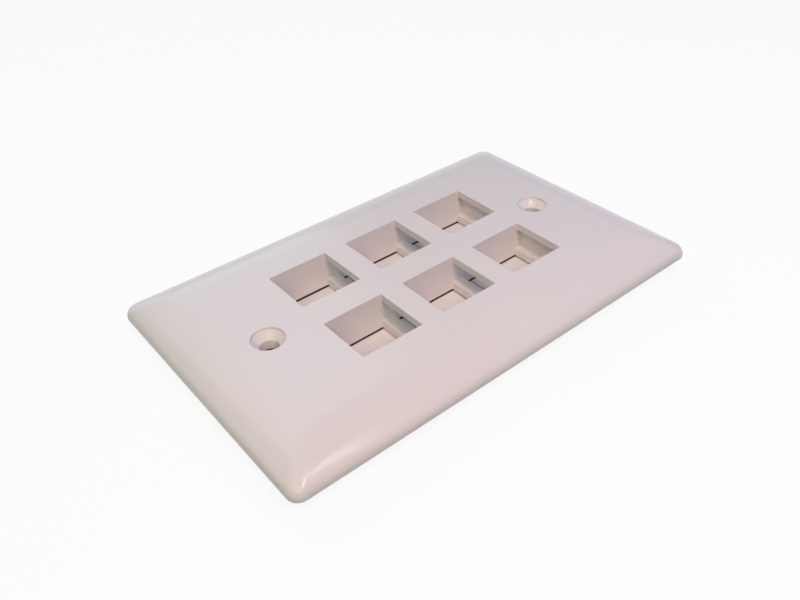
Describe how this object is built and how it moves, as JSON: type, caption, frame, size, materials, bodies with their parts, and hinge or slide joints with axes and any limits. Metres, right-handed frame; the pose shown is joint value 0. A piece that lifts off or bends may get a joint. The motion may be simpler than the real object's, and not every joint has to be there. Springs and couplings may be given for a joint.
{
  "type": "keystone faceplate",
  "caption": "White keystone wall plate with rolled edges, two columns of port openings, a recessed screw hole near each end, and open snap-in frames behind.",
  "frame": {"origin": "centre of the rim's back, the plane that meets the wall, midway between the two screw holes", "axes": "+X along the long side towards the ends of the ports that hold a jack's hook, +Y along the short side, +Z out of the front face, away from the wall"},
  "size_m": [0.12, 0.074, 0.01],
  "materials": {
    "faceplate": "satin"
  },
  "bodies": {
    "root": {"faceplate": "faceplate"}
  },
  "joints": []
}
